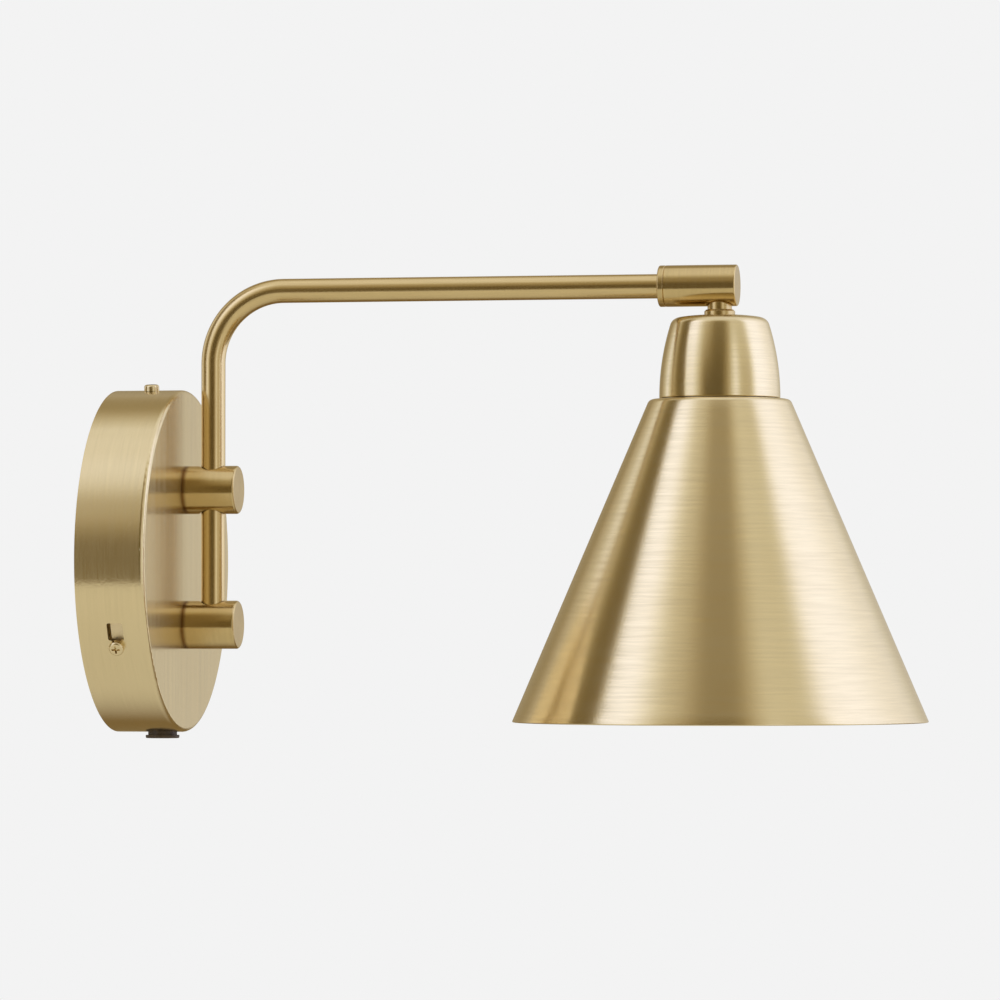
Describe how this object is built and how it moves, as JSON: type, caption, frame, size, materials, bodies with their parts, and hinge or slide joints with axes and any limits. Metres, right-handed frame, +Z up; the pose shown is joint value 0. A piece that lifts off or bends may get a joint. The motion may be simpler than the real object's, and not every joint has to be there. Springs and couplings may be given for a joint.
{
  "type": "wall light",
  "caption": "Swing-arm wall light: round canopy with a push switch, posts that hold a bent tube arm, a turning knuckle and a hanging cone shade.",
  "frame": {"origin": "centre of the canopy's back, on the wall plane", "axes": "+Y into the wall, the arm stands out along -Y, +Z up"},
  "size_m": [0.1696, 0.3378, 0.1941],
  "materials": {
    "satin_brass": "satin brushed",
    "raw_brass": "turned",
    "zinc_steel": "zinc plated",
    "black_thermoset": "moulded, matt",
    "black_button": "moulded, half gloss",
    "white_nylon": "moulded, matt",
    "grey_rubber": "matt"
  },
  "bodies": {
    "wall_mount": {"canopy_cover": "satin_brass", "wall_bracket": "zinc_steel", "cover_screw_top": "satin_brass", "cover_screw_near": "satin_brass", "cover_screw_far": "satin_brass", "stiffener_plate": "zinc_steel", "upper_boss": "satin_brass", "lower_boss": "satin_brass", "upper_boss_bolt": "zinc_steel", "lead_nipple": "zinc_steel", "lead_nipple_nut": "zinc_steel", "upper_bush": "white_nylon", "lower_bush": "white_nylon", "thrust_disc": "white_nylon", "terminal_block": "white_nylon", "terminal_screw_feed_1": "raw_brass", "terminal_screw_feed_2": "raw_brass", "terminal_screw_feed_3": "raw_brass", "terminal_screw_lamp_1": "raw_brass", "terminal_screw_lamp_2": "raw_brass", "terminal_screw_lamp_3": "raw_brass", "earth_washer": "zinc_steel", "earth_screw": "raw_brass", "cable_grommet": "grey_rubber", "switch_body": "black_thermoset"},
    "arm": {"arm_tube": "satin_brass", "swivel_bolt": "raw_brass", "spring_washer": "zinc_steel"},
    "head": {"swivel_bush": "satin_brass", "knuckle_barrel": "satin_brass", "neck_nipple": "satin_brass", "seat_ring": "satin_brass", "shade_cap": "satin_brass", "lock_nut": "raw_brass", "holder_dome": "black_thermoset", "holder_skirt": "black_thermoset", "lamp_shell": "raw_brass", "centre_contact": "raw_brass", "shade_ring": "black_thermoset", "shade_cone": "satin_brass"},
    "button": {"switch_button": "black_button"}
  },
  "joints": [
    {"name": "arm_swing", "type": "hinge", "parent": "wall_mount", "child": "arm", "pos_m": [0, -0.04, 0], "axis": [0, 0, 1], "range_deg": [-75, 75]},
    {"name": "head_roll", "type": "hinge", "parent": "arm", "child": "head", "pos_m": [0, -0.253, 0.112], "axis": [0, 1, 0], "range_deg": [-90, 90]},
    {"name": "switch_press", "type": "slide", "parent": "wall_mount", "child": "button", "axis": [0, 0, 1], "range_m": [0, 0.001], "stiffness_N_per_m": 2000, "springref_m": -0.0006}
  ]
}
